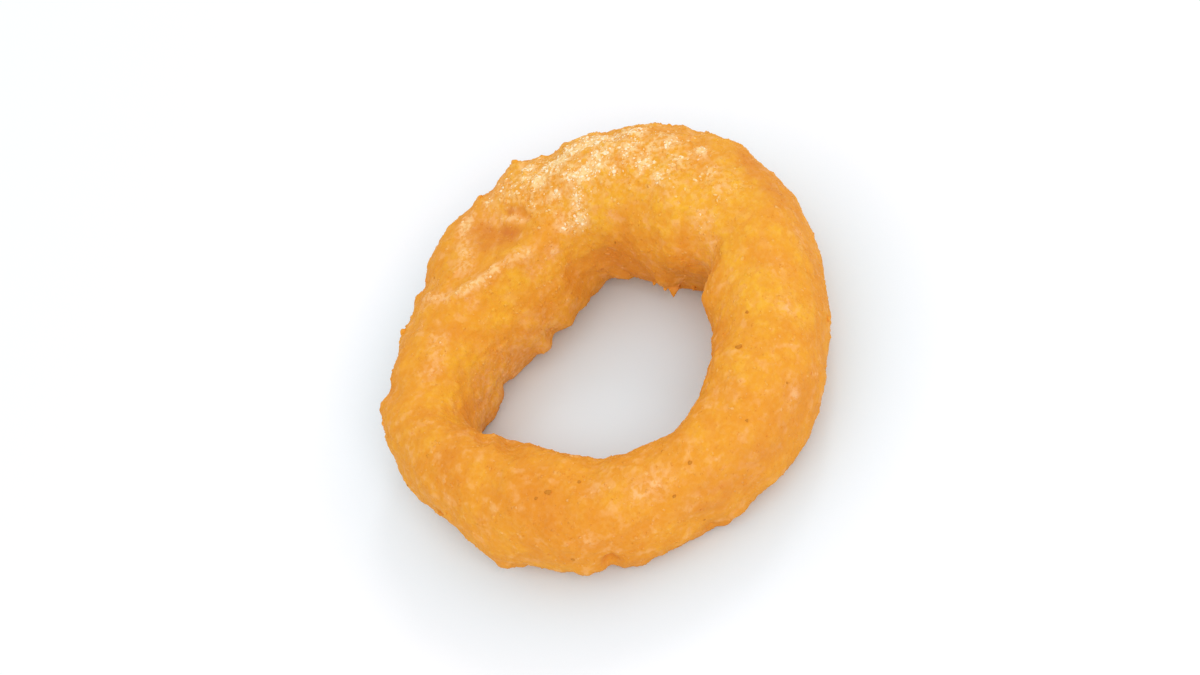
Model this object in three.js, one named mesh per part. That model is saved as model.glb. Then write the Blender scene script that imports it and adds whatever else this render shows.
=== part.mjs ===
// One battered onion ring lying flat on its underside.
//
// The ring is a tube bent into an uneven loop. It is fat on the shoulder at the far right, slim on the near
// side, and its hole is closer to an eye than to a circle. The batter adds a few broad lumps, a hollow with a
// ridge beside it, and a faint unevenness all over. Where the ring lies on the table, its underside is
// pressed flat.
//
// Frame: +Z up, the table at z = 0, and the origin under the middle of the ring's bounding box. Millimetres.
// "Along" is the angle round the ring, counted from +X towards +Y. "Over" is the angle round the tube's
// section: 0 faces away from the hole, 90 faces up, 180 faces into the hole and 270 faces the table.
import * as THREE from "three";

// Driving dimensions.
const OUTSIDE_RADIUS = 39.2; // from the middle of the loop to the outside of the tube, away from any swelling
const HOLE_RADIUS = 20.2; // from the middle of the loop to the edge of the hole, away from any swelling
const HALF_HEIGHT = 10.6; // half of the tube's height, away from any swelling
const SECTION_POWER = 2.2; // 2 makes the tube's section an ellipse, more makes it squarer
const BEDDING = 0.9; // how far the soft underside is pressed flat, on average
const BEDDING_CHANGE = 0.45; // how much that changes between the three places where the ring bears most
const BEARING_PLACES = 3;
const BEARING_TURN = 20; // degrees along the ring to the first bearing place

// The mesh: an even grid of faces.
const STEPS_ALONG = 100;
const STEPS_OVER = 42;

// Where the loop swells or narrows: the place along the ring, the reach to each side of it in degrees,
// and what is added there to the outside radius, the hole's radius and the tube's half height.
const SWELLINGS = [
  { name: "fat shoulder", along: 42, reach: 80, outside: 5.2, hole: 0, halfHeight: 2.4 },
  { name: "shoulder leaning into the hole", along: 105, reach: 54, outside: 0, hole: -6.2, halfHeight: 0 },
  { name: "hip beside the shoulder", along: 105, reach: 22, outside: 2.6, hole: 0, halfHeight: 0 },
  { name: "right flank leaning into the hole", along: 26, reach: 50, outside: 0, hole: -3.4, halfHeight: 0 },
  { name: "pinch on the left", along: 142, reach: 30, outside: -0.7, hole: 0, halfHeight: 0 },
  { name: "left corner of the hole", along: 174, reach: 30, outside: 0.6, hole: 5.2, halfHeight: -0.3 },
  { name: "slim near side", along: 270, reach: 48, outside: -1.7, hole: 2.8, halfHeight: -0.4 },
  { name: "right end of the hole", along: 296, reach: 32, outside: 0.8, hole: 1.5, halfHeight: 0 },
  { name: "right corner of the hole", along: 1, reach: 14, outside: 0, hole: 3.8, halfHeight: 0 },
  { name: "pinch on the right", along: 330, reach: 24, outside: -0.8, hole: 0, halfHeight: 0 },
];

// Lumps and hollows of batter: the place along the ring and over the tube, how long and how wide each is in
// millimetres, how many degrees its length is turned from along the ring towards over the tube, and how far
// it stands out.
const LUMPS = [
  { name: "toasted hollow", along: 98, over: 86, length: 12, width: 9, turn: -20, out: -1.7 },
  { name: "ridge beside the hollow", along: 108, over: 115, length: 26, width: 4.5, turn: -20, out: 1.2 },
  { name: "smooth wall below the ridge", along: 120, over: 145, length: 24, width: 9, turn: -22, out: -0.8 },
  { name: "knob outside the hollow", along: 85, over: 42, length: 8, width: 9, turn: 0, out: 1.7 },
  { name: "swelling on the shoulder", along: 56, over: 84, length: 18, width: 12, turn: 0, out: 0.9 },
  { name: "dip behind the knob", along: 76, over: 104, length: 8, width: 10, turn: 20, out: -0.6 },
  { name: "left knuckle", along: 163, over: 20, length: 7, width: 12, turn: 0, out: 0.8 },
  { name: "flat on the left", along: 197, over: 350, length: 15, width: 20, turn: 0, out: -1.2 },
  { name: "corner after the flat", along: 212, over: 331, length: 8, width: 13, turn: 0, out: 1.1 },
  { name: "flat after the corner", along: 222, over: 331, length: 8, width: 12, turn: 0, out: -0.7 },
  { name: "low belly of the near side", along: 239, over: 325, length: 9, width: 12, turn: 0, out: 0.7 },
  { name: "bulge outside the ridge", along: 105, over: 38, length: 11, width: 10, turn: 0, out: 1 },
  { name: "low swelling in the hole's far wall", along: 91, over: 205, length: 9, width: 9, turn: 0, out: 1 },
  { name: "swelling beside it", along: 57, over: 200, length: 7, width: 8, turn: 0, out: 1.2 },
  { name: "lip on the hole's right", along: 342, over: 152, length: 9, width: 10, turn: 0, out: 1.4 },
  { name: "small knob on the near side", along: 291, over: 338, length: 5, width: 7, turn: 0, out: 1 },
  { name: "notch in the hole's edge", along: 13, over: 200, length: 7, width: 14, turn: 0, out: -3.2 },
  { name: "tongue in the hole's edge", along: 27, over: 192, length: 4, width: 8, turn: 0, out: 1.1 },
  { name: "flat on the right", along: 357, over: 16, length: 14, width: 13, turn: 0, out: -0.8 },
  { name: "hip above the flat", along: 22, over: 36, length: 9, width: 10, turn: 0, out: 0.8 },
  { name: "dip in the shoulder's edge", along: 72, over: 70, length: 9, width: 8, turn: 0, out: -1 },
  { name: "low belly on the right", along: 312, over: 342, length: 12, width: 14, turn: 0, out: 0.5 },
  { name: "low belly beside it", along: 274, over: 324, length: 8, width: 12, turn: 0, out: 0.7 },
  { name: "flat beside the hole", along: 258, over: 112, length: 14, width: 9, turn: 0, out: -0.6 },
  { name: "swelling beside the hole", along: 302, over: 135, length: 7, width: 9, turn: 0, out: 0.6 },
  { name: "dip in the near side", along: 238, over: 82, length: 11, width: 7, turn: 0, out: -0.7 },
  { name: "swelling on the near side", along: 259, over: 58, length: 15, width: 9, turn: 0, out: 0.6 },
  { name: "swelling on the right", along: 332, over: 78, length: 17, width: 9, turn: -15, out: 0.7 },
];
const LUMP_REACH = 0.8; // where a lump has died away, as a share of its length and width
const LUMP_MIDDLE = new THREE.Vector2(0, 0);

// The faint unevenness all over: how far each wave stands out, how many of it run along the ring and over the
// tube, and where it starts in radians.
const WAVES = [
  { out: 0.22, along: 9, over: 2, turn: 0.4 },
  { out: 0.18, along: -14, over: 3, turn: 2.1 },
  { out: 0.14, along: 19, over: 4, turn: 4.4 },
];

const CRUST_COLOUR = "#f0a03a";
const CRUST_ROUGHNESS = 0.6;

const radians = THREE.MathUtils.degToRad;

// The shortest way from one angle to another, in radians, between -PI and PI.
function angleBetween(from, to) {
  return THREE.MathUtils.euclideanModulo(to - from + Math.PI, 2 * Math.PI) - Math.PI;
}

// A smooth bump: 1 in the middle, falling to 0 with no edge at distance 1.
function bump(distance) {
  return distance < 1 ? (1 + Math.cos(Math.PI * distance)) / 2 : 0;
}

// One of the loop's measures at a place along the ring, with every swelling's share added.
function measure(base, key, along) {
  return SWELLINGS.reduce(
    (sum, s) => sum + s[key] * bump(Math.abs(angleBetween(radians(s.along), along)) / radians(s.reach)),
    base,
  );
}

// The tube's section at a place along the ring: its middle's distance and height, and its two half widths.
function sectionAt(along) {
  const outside = measure(OUTSIDE_RADIUS, "outside", along);
  const hole = measure(HOLE_RADIUS, "hole", along);
  const halfHeight = measure(HALF_HEIGHT, "halfHeight", along);
  const bearing = Math.cos(BEARING_PLACES * (along - radians(BEARING_TURN)));
  return {
    middle: (outside + hole) / 2,
    halfWidth: (outside - hole) / 2,
    halfHeight,
    lift: halfHeight - BEDDING - BEDDING_CHANGE * bearing,
  };
}

// A superellipse's coordinate: the sine or cosine, drawn out towards the corners.
function squared(value) {
  return Math.sign(value) * Math.abs(value) ** (2 / SECTION_POWER);
}

// A point on the smooth loop, before the batter's lumps.
function loopPoint(along, over) {
  const s = sectionAt(along);
  const distance = s.middle + s.halfWidth * squared(Math.cos(over));
  return new THREE.Vector3(
    distance * Math.cos(along),
    distance * Math.sin(along),
    s.lift + s.halfHeight * squared(Math.sin(over)),
  );
}

// The loop's outward direction at a point, from two short steps on the surface.
function loopNormal(along, over) {
  const step = radians(1);
  const alongRing = loopPoint(along + step, over).sub(loopPoint(along - step, over));
  const overTube = loopPoint(along, over + step).sub(loopPoint(along, over - step));
  return alongRing.cross(overTube).normalize();
}

// How far the batter stands out of the smooth loop.
function batter(along, over) {
  const s = sectionAt(along);
  const distance = s.middle + s.halfWidth * Math.cos(over);
  const tube = (s.halfWidth + s.halfHeight) / 2;
  let out = 0;
  for (const lump of LUMPS) {
    const place = new THREE.Vector2(
      distance * angleBetween(radians(lump.along), along),
      tube * angleBetween(radians(lump.over), over),
    ).rotateAround(LUMP_MIDDLE, -radians(lump.turn));
    out += lump.out * bump(Math.hypot(place.x / lump.length, place.y / lump.width) / LUMP_REACH);
  }
  for (const wave of WAVES) out += wave.out * Math.sin(wave.along * along + wave.over * over + wave.turn);
  return out;
}

// A point on the ring's surface. Nothing goes below the table.
function ringPoint(along, over) {
  const point = loopPoint(along, over).addScaledVector(loopNormal(along, over), batter(along, over));
  point.z = Math.max(point.z, 0);
  return point;
}

// The ring's mesh: rows of points round the loop, each quad between them split along its shorter diagonal.
function ringGeometry() {
  const points = [];
  for (let i = 0; i < STEPS_ALONG; i++) {
    for (let j = 0; j < STEPS_OVER; j++) {
      points.push(ringPoint((2 * Math.PI * i) / STEPS_ALONG, (2 * Math.PI * j) / STEPS_OVER));
    }
  }
  const index = (i, j) => (i % STEPS_ALONG) * STEPS_OVER + (j % STEPS_OVER);
  const faces = [];
  for (let i = 0; i < STEPS_ALONG; i++) {
    for (let j = 0; j < STEPS_OVER; j++) {
      const [a, b, c, d] = [index(i, j), index(i + 1, j), index(i + 1, j + 1), index(i, j + 1)];
      const splitFromA = points[a].distanceTo(points[c]) < points[b].distanceTo(points[d]);
      faces.push(...(splitFromA ? [a, b, c, a, c, d] : [a, b, d, b, c, d]));
    }
  }
  const geometry = new THREE.BufferGeometry().setFromPoints(points);
  geometry.setIndex(faces);
  geometry.computeBoundingBox();
  const middle = geometry.boundingBox.getCenter(new THREE.Vector3());
  geometry.translate(-middle.x, -middle.y, 0);
  geometry.computeVertexNormals();
  return geometry;
}

const crust = new THREE.MeshStandardMaterial({
  color: CRUST_COLOUR,
  roughness: CRUST_ROUGHNESS,
  metalness: 0,
});

const ring = new THREE.Mesh(ringGeometry(), crust);
ring.name = "onion_ring";

const group = new THREE.Group();
group.add(ring);

export default group;
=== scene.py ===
"""A fried onion ring: its crust, the crumbs and dark specks in it, and the table and light around it.

The file is laid out as an add-on. Run as a script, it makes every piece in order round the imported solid.
Lengths are metres. A length in millimetres is written as a number times MM.
"""

import math
from functools import partial

import bmesh
import bpy
import numpy as np
from mathutils import Matrix, Vector, noise
from mathutils.bvhtree import BVHTree


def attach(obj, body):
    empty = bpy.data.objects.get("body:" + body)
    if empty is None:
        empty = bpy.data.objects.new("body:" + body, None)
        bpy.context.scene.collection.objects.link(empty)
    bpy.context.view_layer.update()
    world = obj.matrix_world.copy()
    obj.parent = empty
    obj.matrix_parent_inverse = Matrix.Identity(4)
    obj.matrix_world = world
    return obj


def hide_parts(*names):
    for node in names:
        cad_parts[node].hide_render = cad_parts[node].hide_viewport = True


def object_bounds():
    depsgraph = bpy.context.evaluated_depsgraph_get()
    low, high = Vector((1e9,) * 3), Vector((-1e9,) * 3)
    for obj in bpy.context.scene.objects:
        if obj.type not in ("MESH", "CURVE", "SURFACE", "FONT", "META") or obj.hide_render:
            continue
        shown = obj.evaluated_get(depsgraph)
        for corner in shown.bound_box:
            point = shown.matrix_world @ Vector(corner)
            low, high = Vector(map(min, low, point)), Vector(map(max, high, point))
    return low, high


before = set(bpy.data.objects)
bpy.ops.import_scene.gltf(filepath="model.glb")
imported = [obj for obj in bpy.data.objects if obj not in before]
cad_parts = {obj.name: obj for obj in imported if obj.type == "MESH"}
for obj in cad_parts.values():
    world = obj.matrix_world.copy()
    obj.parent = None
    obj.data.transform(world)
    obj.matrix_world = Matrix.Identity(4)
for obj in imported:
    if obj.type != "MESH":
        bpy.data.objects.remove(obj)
CAD_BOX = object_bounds()
RING_NODE = "onion_ring"

bl_info = {
    "name": "Fried Onion Ring",
    "version": (1, 0, 0),
    "blender": (4, 5, 0),
    "location": "3D View > Sidebar > Onion Ring",
    "description": "Makes the crust, crumbs and specks of a fried onion ring, with a table and light",
    "category": "Object",
}

MM = 0.001
CM2 = 0.0001
SAME_PLACE = 0.001 * MM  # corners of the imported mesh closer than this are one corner

# Names of the values that the points of the crust and the crumbs carry, for the trees and materials to read.
CRUMBLY = "crumbly"  # 0 where the batter has set smooth, 1 where crumbs stand thick on it
# The toasted value is the hollow's real browning, and painted shade on the right and low edges and on the
# wall of the hole.
TOASTED_OR_SHADED = "toasted_or_shaded"  # 0 for golden, 1 for the brown of the hollow
# Pale is also painted light on the walls of the hole, and partly painted highlight on the crumbs of the
# shoulder and the ridge.
PALE = "pale"  # 0 for golden, 1 for straw
# Yellowed is also painted light on the walls of the hole, lifting their shade.
YELLOWED = "yellowed"  # above 0 yellower than its height makes it, below 0 more amber
RAISED = "raised"  # how far the crust stands out of the solid, in millimetres
CREST = "crest"  # 0 in the creases between the lumps, 1 on top of them
CLUSTERED = "clustered"  # 0 between the clusters of crumbs, 1 in them
TONE = "tone"  # a number from 0 to 1 that differs from crumb to crumb
TIP = "tip"  # 0 at the foot of a crumb, 1 at its tip

# Where the crust differs from its plain stretches: the points along the middle of each patch in millimetres,
# how far it reaches to each side of them, and what it adds to the values above.
PATCHES = {
    "shoulder": ([(6, 29, 23), (15, 26, 25), (24, 19, 25)], 11.5, {CRUMBLY: 0.9}),
    "right of the shoulder": ([(28, 14, 24.5), (30, 5, 23)], 9, {CRUMBLY: 0.35}),
    "back of the shoulder": ([(34, 30, 12)], 18, {CRUMBLY: 0.6}),
    "left of the shoulder": ([(0, 33.5, 21), (5, 29, 22.4)], 6, {CRUMBLY: 0.3, PALE: 0.2}),
    "slope into the hole": ([(8, 18.5, 21.5)], 6, {CRUMBLY: 0.35}),
    "pale grain on it": ([(5.3, 18.7, 20.7), (8, 18.5, 21)], 3, {CRUMBLY: 0.4, PALE: 0.45}),
    # Partly painted highlight: the straw of the shoulder's far edge is partly pale crumbs and partly light
    # glinting on them.
    "far edge of the shoulder": (
        [(9.7, 29.5, 24), (14.8, 29.6, 24.4), (20.6, 28.6, 24), (24.2, 25, 24.1)],
        3.4,
        {CRUMBLY: 0.4, PALE: 0.75},
    ),
    # Partly painted highlight: the white streak is partly pale crumbs and partly light glinting on them.
    "white streak on the shoulder": (
        [(11.5, 22.2, 24.8), (16, 22.8, 25.4)],
        2.6,
        {CRUMBLY: 0.4, PALE: 0.7},
    ),
    "peach grain beside the hole": ([(24.6, 1.7, 21.8)], 3.5, {CRUMBLY: 0.2, PALE: 0.35}),
    "hollow": (
        [(-7, 29.3, 19.7), (-7.2, 26.5, 19.9), (-5.5, 24.5, 20.3), (-3, 23.5, 20.7), (-3, 26, 20.4)],
        4.2,
        {CRUMBLY: -0.6, TOASTED_OR_SHADED: 0.57},
    ),
    "low side of the hollow": (
        [(-7, 29, 19.7), (-5, 26.3, 20.1), (-3, 23.2, 20.8)],
        2.3,
        {TOASTED_OR_SHADED: 0.3, RAISED: -0.4},
    ),
    "high side of the hollow": (
        [(-1.2, 28.3, 21), (0.3, 27, 21.7), (0.5, 25, 21.6)],
        1.7,
        {CRUMBLY: -0.2, TOASTED_OR_SHADED: 0.5, RAISED: -0.3},
    ),
    "pale side of the hollow": ([(-5, 31, 20.1), (-4.3, 28, 20.1)], 2.8, {PALE: 0.35, TOASTED_OR_SHADED: -0.2}),
    "soft crumb in the hollow": (
        [(-2.6, 28, 20.4), (-2.2, 26.7, 20.5)],
        1.3,
        {CRUMBLY: 0.3, PALE: 0.5, TOASTED_OR_SHADED: -0.45, RAISED: 0.4},
    ),
    "second crumb in it": (
        [(-1.2, 26.6, 20.9), (-0.8, 25, 21.2)],
        1.5,
        {CRUMBLY: 0.3, PALE: 0.5, TOASTED_OR_SHADED: -0.45, RAISED: 0.4},
    ),
    "low crumb in it": ([(-2.2, 22.3, 20.8)], 1.3, {CRUMBLY: 0.3, PALE: 0.45, TOASTED_OR_SHADED: -0.5}),
    "rim of the hollow": (
        [(-8, 33.6, 19.5), (-10.5, 29.3, 19.9), (-13, 23.6, 20.1)],
        2.8,
        {CRUMBLY: 0.2, PALE: 0.55},
    ),
    # Partly painted highlight: the pale line along the ridge, here and in the next two patches, is partly
    # pale crumbs and partly light on its crest.
    "inner end of the ridge": (
        [(-2.3, 18.1, 21), (-6, 18.1, 21.2)],
        2.0,
        {CRUMBLY: 0.25, PALE: 0.5, RAISED: 0.4},
    ),
    "middle of the ridge": (
        [(-8.5, 18.8, 20.8), (-12.4, 18.7, 20.5), (-15.6, 19, 20.5)],
        2.0,
        {CRUMBLY: 0.25, PALE: 0.65, RAISED: 0.5},
    ),
    "left end of the ridge": (
        [(-18.4, 20, 20), (-20.4, 21.5, 19.4), (-21.4, 24, 18.8)],
        2.1,
        {CRUMBLY: 0.25, PALE: 0.45, RAISED: 0.4},
    ),
    # Painted highlight: the white spots on the ridge, here and in the next two lines, stand for light
    # glinting on its crest.
    "first white spot on the ridge": ([(-2.7, 17.6, 20.8)], 1.5, {CRUMBLY: 0.05, PALE: 0.3}),
    "second white spot on it": ([(-9, 18.5, 20.8)], 1.6, {PALE: 0.2}),
    "third white spot on it": ([(-12.1, 18.5, 20.5), (-14.5, 18.9, 20.6)], 1.4, {PALE: 0.12}),
    "spot under its inner end": ([(-1.6, 15.8, 18.4)], 2.2, {PALE: 0.35}),
    "spot beside that": ([(1, 16.4, 18.5)], 2, {PALE: 0.35}),
    "spot below the ridge": ([(1.4, 16.7, 19)], 2.2, {PALE: 0.35}),
    "second spot below it": ([(-15.3, 16.6, 19.5)], 2.2, {PALE: 0.35}),
    "streak on the left": (
        [(-23.2, 13.7, 19.9), (-25.3, 9.6, 19.3), (-28, 8.4, 19.5)],
        2.6,
        {CRUMBLY: 0.1, PALE: 0.3},
    ),
    "spot on the near side": ([(-8, -35.7, 18), (-4.4, -35.9, 18.4)], 4, {PALE: 0.45}),
    "spot to its left": ([(-13.9, -30.9, 19)], 2.8, {PALE: 0.3}),
    "low spot on the near side": ([(-19.1, -35.4, 14.3)], 2.5, {PALE: 0.35}),
    "left spot on the near side": ([(-32.6, -23.1, 16.2)], 3, {PALE: 0.2}),
    "spot on the right": ([(28.2, -21.1, 19)], 4, {PALE: 0.2}),
    "low spot on the right": ([(21.6, -32.8, 15.5)], 4, {PALE: 0.2}),
    "spot inside it": ([(13.1, -29.6, 20.2)], 3, {PALE: 0.2}),
    "spot above the right side": ([(30.8, -14.5, 20.2)], 3, {PALE: 0.2}),
    "dark streak on the near side": ([(-22.5, -28, 19.5)], 6, {TOASTED_OR_SHADED: 0.2}),
    "corner of the hole": ([(-26.5, -6.5, 18)], 4, {TOASTED_OR_SHADED: 0.2}),
    # Painted shade: the wall of the hole is darkened with the toasted brown, where shade falls in it.
    "wall of the hole": ([(10, 11, 12)], 12, {TOASTED_OR_SHADED: 0.35}),
    # Painted light: the far corner of the hole is made yellower and paler, to lift the shade that falls
    # there.
    "far corner of the hole": ([(21.6, -2.2, 17)], 6, {YELLOWED: 0.8, PALE: 0.2}),
    # Painted light: the left wall of the hole is made yellower and paler, to lift the shade that falls there.
    "left wall of the hole": (
        [(-8, 11.5, 8), (-15.3, 11, 6), (-19.7, 8.2, 9), (-23.3, 6.3, 5)],
        7.5,
        {YELLOWED: 0.8, PALE: 0.36},
    ),
    "slope above it": (
        [(9, 15.5, 19), (0, 16, 18), (-7, 15, 18), (-15, 12.5, 17), (-22, 9, 16), (-27, 2, 17)],
        6,
        {YELLOWED: 0.8},
    ),
    "right side": ([(32, 2, 21.5), (32, -9, 20.5), (29, -19, 19.5)], 9.5, {YELLOWED: 0.9}),
    "inner edge of the right side": ([(15, -19, 18)], 6, {YELLOWED: -0.5}),
    # Painted shade: this patch and the next two darken the right edge and the low edges on the right with the
    # toasted brown, as shade falling on them.
    "right edge": ([(36.8, 8.5, 20), (38.5, 0, 18)], 6.5, {TOASTED_OR_SHADED: 0.4}),
    "edge below it": ([(36, -13, 13), (30, -25, 11)], 6, {TOASTED_OR_SHADED: 0.22}),
    "low edge on the right": ([(22, -33, 12), (14.5, -37, 12), (1, -39.5, 11)], 8, {TOASTED_OR_SHADED: 0.45}),
    "near side": ([(-23, -25, 19), (-22, -31, 15), (-16, -36, 10)], 9, {YELLOWED: -0.7}),
    "left of the near side": ([(-31, -10, 20), (-33, -14, 19)], 6, {YELLOWED: -0.6}),
    "low edge on the left": ([(-28.7, -29.6, 9)], 4, {TOASTED_OR_SHADED: 0.2}),
}
# The same for spots of one kind, each round the one point that is its middle.
SPOTS = {
    # Partly painted highlight: the pale and white clusters on the shoulder are partly the crumbs' own colour
    # and partly light glinting on them.
    "pale clusters of crumbs on the shoulder": (
        [
            (6.2, 29.4, 23), (9.5, 20.5, 23.2), (21.9, 21.6, 25.5), (27.8, 19, 24.3), (22.1, 17.4, 24.8),
            (22.9, 12.9, 24.5), (26.9, 13.3, 24.6), (31.3, 8.5, 23.3), (31.4, 13.7, 23.1),
        ],
        2.6,
        {CRUMBLY: 0.3, PALE: 0.3},
    ),
    # Partly painted highlight, as for the pale clusters above.
    "white clusters of crumbs on it": (
        [
            (13.8, 23, 25.2), (11.6, 23.4, 25), (10.1, 24.4, 24.7), (7.2, 27.8, 23.6), (5.8, 28.4, 23),
            (17.3, 27.2, 25.1), (14, 28.3, 24.9), (10.9, 28.1, 24.8), (22.1, 21.5, 25.4),
            (27.9, 18.4, 24.3), (22.1, 17.4, 24.8), (22.9, 12.9, 24.5), (9.7, 20.2, 23.2),
            (8.3, 17.6, 20.6), (19, 29, 24.2), (6.9, 23.6, 23.3), (5.9, 33.2, 22.1), (8.4, 31, 23.4),
            (4.3, 31, 22.3), (12.5, 30, 24.4), (10.1, 30.5, 23.9), (-3.6, 33.6, 20.5), (16.5, 24.7, 25.3),
            (18.5, 23.4, 25.4), (15.4, 28, 25), (16, 21.8, 25.3), (17.4, 19.6, 25.3), (31.8, 14.1, 22.9),
        ],
        1.7,
        {CRUMBLY: 0.3, PALE: 0.7},
    ),
    "small peach spots": (
        [
            (22.3, 9.1, 24.2), (13, 14.3, 21), (24.4, -2, 19.7), (30.7, 4.6, 22.9), (37.3, -7.2, 16.7),
            (28.8, -21, 18.5), (26.2, -30.4, 12.8), (21.4, -33.5, 14.3), (-3.5, 16, 18.8),
            (-9.1, 32.5, 19.6),
        ],
        2,
        {PALE: 0.38},
    ),
}
# Where the batter's edge is ragged: the middle of each corner or nick in millimetres, how far it reaches,
# and how far it stands out there.
CORNERS = {
    "swelling on the right": ((31.1, -22.5, 6.7), 3, 0.5),
    "lower right": ((3.8, -38.9, 3.1), 2.5, 0.7),
    "belly of the near side": ((-23.2, -33.7, 5.8), 2.6, 0.65),
    "lower left": ((-33.9, -23.4, 4.9), 2.6, 0.75),
    "swelling above it": ((-37.4, -14, 11), 3, 0.5),
    "beside the nick in the near side": ((-14, -36.4, 2.2), 2.2, 0.5),
    "foot at the lower right": ((1, -38.3, 1.8), 2, 0.55),
    "above the left": ((-37.3, 11.3, 16), 2.3, 0.45),
    "swelling under that": ((-38.3, -8, 5), 3, 0.5),
    "left": ((-39.7, 4.2, 14.3), 2.5, 0.45),
    "knob outside the hollow": ((-4.2, 36.5, 18.9), 3, 0.5),
    "beside the knob": ((4.2, 37, 20.7), 3, 0.65),
    "lip of the hole's corner": ((-23.4, 7.5, 1.6), 3, 0.6),
    "tongue in the hole's left side": ((1.3, 15, 4.8), 2.5, 0.5),
    "step below it": ((-8.8, 11.7, 4.5), 2.8, 1.0),
    "hole's far side": ((4.7, 17.4, 3.6), 2.2, 0.45),
    "right of the teeth": ((17.6, -8.7, 16.8), 2.2, 0.4),
    "tongue in the hole's far side": ((9, 14.3, 6.4), 2.6, 0.8),
    "end of the ridge": ((-23, 28, 15.6), 2.2, 0.6),
    "above the hole's corner": ((-24.2, -6.7, 16.3), 2, 0.6),
}
NICKS = {
    "far edge": ((20.9, 29, 23.6), 3.5, -1.2),
    "right of the far edge": ((30, 23.2, 22.6), 3, -0.6),
    "beside that": ((33, 20.2, 21.3), 3, -0.5),
    "right side": ((39.9, 3.4, 16.7), 3, -0.5),
    "lower right": ((-1.6, -38.6, 3), 1.8, -0.6),
    "near side": ((-18.4, -36, 5.9), 2.3, -1.7),
    "left side": ((-34.9, 11.3, 17.9), 3, -0.6),
    "above it": ((-26.2, 22.5, 17.5), 3, -0.7),
    "end of the ridge": ((-20.4, 26.9, 18), 2.5, -0.5),
    "saddle behind the shoulder": ((10, 33.7, 22), 3.5, -0.7),
    "hole's corner": ((-24.9, -8.8, 18.5), 2, -1.0),
    "hole's left side": ((-6.2, 12, 6.5), 2, -0.5),
    "lower down": ((-18.3, 9, 5.2), 1.9, -0.8),
    "between the teeth": ((16.8, 5.4, 4.9), 1.9, -0.4),
    "hole's near side": ((-11.2, -24.4, 17.1), 3, -0.8),
    "beside the hole's corner": ((-21.5, -13.6, 19), 3.3, -1.6),
}
# A nick runs along the line of sight, so that it shows in the outline. These are millimetres from its middle.
NICK_NEAR = 2.4  # toward the camera
NICK_FAR = 5.6  # away from it
PLAIN_CRUMBLY = 0.03  # the crumbly value outside all patches
FINER_FROM = 0.3  # the crumbly value from which the crust's mesh is twice as fine
LET_DOWN = 0.17  # how far the crust starts below the solid, as a share of the height of its lumps and grains
SMALL_GRAIN = 0.55  # the width of the small grains among the large, as a share of theirs
LARGE_GRAIN_SHARE = 0.55  # the large grains' part of the height of all grains
SMOOTH_LUMP_SHARE = 0.55  # how much of their height the lumps have where the crust isn't crumbly
SMOOTH_GRAIN_SHARE = 0.45  # the same for the grains
LUMP_CREST = 0.35  # how much a lump counts in a point's crest value
GRAIN_CREST = 0.9  # the same for a grain

# The crumbs that stand out by themselves: where each stands on the crust in millimetres, its width, and how
# tall it is as a share of that.
LONE_CRUMBS = [
    ((15, 5.6, 6), 2.4, 1.2),
    ((14.1, 6.6, 6.6), 0.9, 1),
    ((18.2, 5, 4.6), 1.3, 1.1),
    ((13.1, 9.5, 6.1), 1, 1.4),
    ((-28.2, 22.6, 16.1), 1.5, 0.7),
    ((-39.0, 8.0, 15.4), 1.2, 0.7),
    ((4.0, 37.0, 20.7), 1.5, 0.7),
    ((-4.5, 36.0, 19), 1.2, 0.7),
    ((-38.5, -8.5, 7), 1.2, 0.7),
    ((33.5, -19.7, 8.5), 1.0, 0.7),
]
# The same for the dark specks, which are flat.
SPECKS = [
    ((22.2, -19.0, 20.9), 0.8, 0.35),
    ((17.8, -24.1, 20.9), 1.3, 0.35),
    ((12.4, -35.1, 17.8), 0.6, 0.35),
    ((1.2, -36.3, 18.2), 0.8, 0.35),
    ((-20.5, -26.9, 19.6), 1.1, 0.35),
    ((-22.7, -26.6, 19.8), 0.6, 0.35),
    ((-15.3, -28.0, 18.9), 0.6, 0.35),
    ((-23.3, -34.5, 10.6), 0.7, 0.35),
]
DENT_SEED = 7  # without it, the dents in both would differ from run to run
BALL_RADIUS = 0.5  # of the ball that a crumb starts from, for a width of 1

# The clouds in the batter's colour: their width in millimetres, and how finely they break up.
CLOUDS = {"yellow": (7, 2), "amber": (4, 3), "mottle": (2.6, 3), "peach": (2, 2), "flecks": (0.8, 2)}
# Real pores and the fibres of card are too fine to show, so they are drawn as coarse as they need to be.
PORE_SIZE = 0.55 * MM
PORE_DEPTH = 0.22 * MM
FIBRE_SIZE = 2 * MM
FIBRE_DEPTH = 0.1 * MM
# The yellow high up is partly painted light, where the light falls on the ring's top.
YELLOW_HEIGHTS = (19 * MM, 23 * MM)  # where the yellow begins, going up, and where it is strongest
EMBER_HEIGHTS = (6 * MM, 1.5 * MM)  # where the ember edge begins, going down, and where it is strongest
COOL_TABLE = (60 * MM, 40 * MM)  # where the table begins to be cooler, going in, and where it is coolest

# The view: the camera looks along +Y and down, and is turned about its own line of sight.
VIEW_DOWN = math.radians(50)
VIEW_ROLL = math.radians(32.9)
VIEW_DISTANCE = 450 * MM
TABLE_HALF_SIDE = 1.5
TABLE_GAP = 0.05 * MM  # how far the table is below the ring

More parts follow.
